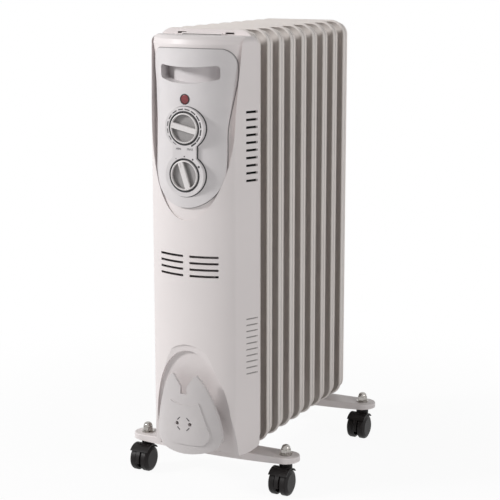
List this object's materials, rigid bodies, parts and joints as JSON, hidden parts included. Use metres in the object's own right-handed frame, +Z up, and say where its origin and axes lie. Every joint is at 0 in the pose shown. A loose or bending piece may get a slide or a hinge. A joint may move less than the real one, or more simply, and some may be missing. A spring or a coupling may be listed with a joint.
{
  "type": "oil filled radiator heater",
  "caption": "Upright oil filled radiator heater: a row of pressed steel fins on castor feet, with a control box that has a thermostat, a heat switch and a cord hook.",
  "frame": {"origin": "on the floor, under the middle of the heater's bounding box", "axes": "+Z up, -Y the front with the control box, +X the right hand side seen from the front"},
  "size_m": [0.256, 0.3752, 0.624],
  "materials": {
    "fin_enamel": "satin",
    "white_enamel": "satin",
    "panel_grey": "satin",
    "hook_grey": "satin",
    "knob_white": "gloss",
    "lens_red": "gloss",
    "chrome": "polished",
    "zinc_steel": "satin",
    "dark_plastic": "matte",
    "brass": "satin",
    "castor_black": "satin"
  },
  "bodies": {
    "radiator": {"fin_1": "fin_enamel", "fin_2": "fin_enamel", "fin_3": "fin_enamel", "fin_4": "fin_enamel", "fin_5": "fin_enamel", "fin_6": "fin_enamel", "fin_7": "fin_enamel", "fin_8": "fin_enamel", "fin_9": "fin_enamel", "back_plate": "white_enamel", "front_cover": "white_enamel", "control_housing": "white_enamel", "control_panel": "panel_grey", "indicator_lens": "lens_red", "indicator_lamp": "dark_plastic", "thermostat_body": "dark_plastic", "switch_body": "dark_plastic", "control_nuts": "brass", "cover_screws": "zinc_steel", "heating_elements": "zinc_steel", "element_flange": "zinc_steel", "filler_plug": "zinc_steel", "thermal_cutout": "dark_plastic", "terminal_block": "dark_plastic", "cord_gland": "dark_plastic", "cord_hook": "hook_grey", "front_foot": "white_enamel", "rear_foot": "white_enamel", "u_bolts": "zinc_steel", "wing_nuts": "zinc_steel", "castor_stems": "zinc_steel", "washers": "chrome", "dome_nuts": "chrome"},
    "thermostat_dial": {"thermostat_knob": "knob_white", "thermostat_shaft": "zinc_steel"},
    "switch_dial": {"switch_knob": "knob_white", "switch_shaft": "zinc_steel"},
    "castor_front_left": {"castor_front_left": "castor_black", "axle_front_left": "zinc_steel"},
    "wheel_front_left_left": {"wheel_front_left_left": "castor_black"},
    "wheel_front_left_right": {"wheel_front_left_right": "castor_black"},
    "castor_front_right": {"castor_front_right": "castor_black", "axle_front_right": "zinc_steel"},
    "wheel_front_right_left": {"wheel_front_right_left": "castor_black"},
    "wheel_front_right_right": {"wheel_front_right_right": "castor_black"},
    "castor_rear_left": {"castor_rear_left": "castor_black", "axle_rear_left": "zinc_steel"},
    "wheel_rear_left_left": {"wheel_rear_left_left": "castor_black"},
    "wheel_rear_left_right": {"wheel_rear_left_right": "castor_black"},
    "castor_rear_right": {"castor_rear_right": "castor_black", "axle_rear_right": "zinc_steel"},
    "wheel_rear_right_left": {"wheel_rear_right_left": "castor_black"},
    "wheel_rear_right_right": {"wheel_rear_right_right": "castor_black"}
  },
  "joints": [
    {"name": "thermostat_turn", "type": "hinge", "parent": "radiator", "child": "thermostat_dial", "pos_m": [0, -0.18, 0.4995], "axis": [0, 1, 0], "range_deg": [-70, 230]},
    {"name": "switch_turn", "type": "hinge", "parent": "radiator", "child": "switch_dial", "pos_m": [0, -0.18, 0.4385], "axis": [0, 1, 0], "range_deg": [0, 90]},
    {"name": "swivel_front_left", "type": "hinge", "parent": "radiator", "child": "castor_front_left", "pos_m": [-0.1086, -0.0979, 0.038], "axis": [0, 0, 1], "continuous": true},
    {"name": "roll_front_left_left", "type": "hinge", "parent": "castor_front_left", "child": "wheel_front_left_left", "pos_m": [-0.1086, -0.1099, 0.018], "axis": [1, 0, 0], "continuous": true},
    {"name": "roll_front_left_right", "type": "hinge", "parent": "castor_front_left", "child": "wheel_front_left_right", "pos_m": [-0.1086, -0.1099, 0.018], "axis": [1, 0, 0], "continuous": true},
    {"name": "swivel_front_right", "type": "hinge", "parent": "radiator", "child": "castor_front_right", "pos_m": [0.1086, -0.0979, 0.038], "axis": [0, 0, 1], "continuous": true},
    {"name": "roll_front_right_left", "type": "hinge", "parent": "castor_front_right", "child": "wheel_front_right_left", "pos_m": [0.1086, -0.1099, 0.018], "axis": [1, 0, 0], "continuous": true},
    {"name": "roll_front_right_right", "type": "hinge", "parent": "castor_front_right", "child": "wheel_front_right_right", "pos_m": [0.1086, -0.1099, 0.018], "axis": [1, 0, 0], "continuous": true},
    {"name": "swivel_rear_left", "type": "hinge", "parent": "radiator", "child": "castor_rear_left", "pos_m": [-0.1086, 0.1699, 0.038], "axis": [0, 0, 1], "continuous": true},
    {"name": "roll_rear_left_left", "type": "hinge", "parent": "castor_rear_left", "child": "wheel_rear_left_left", "pos_m": [-0.1086, 0.1579, 0.018], "axis": [1, 0, 0], "continuous": true},
    {"name": "roll_rear_left_right", "type": "hinge", "parent": "castor_rear_left", "child": "wheel_rear_left_right", "pos_m": [-0.1086, 0.1579, 0.018], "axis": [1, 0, 0], "continuous": true},
    {"name": "swivel_rear_right", "type": "hinge", "parent": "radiator", "child": "castor_rear_right", "pos_m": [0.1086, 0.1699, 0.038], "axis": [0, 0, 1], "continuous": true},
    {"name": "roll_rear_right_left", "type": "hinge", "parent": "castor_rear_right", "child": "wheel_rear_right_left", "pos_m": [0.1086, 0.1579, 0.018], "axis": [1, 0, 0], "continuous": true},
    {"name": "roll_rear_right_right", "type": "hinge", "parent": "castor_rear_right", "child": "wheel_rear_right_right", "pos_m": [0.1086, 0.1579, 0.018], "axis": [1, 0, 0], "continuous": true}
  ]
}
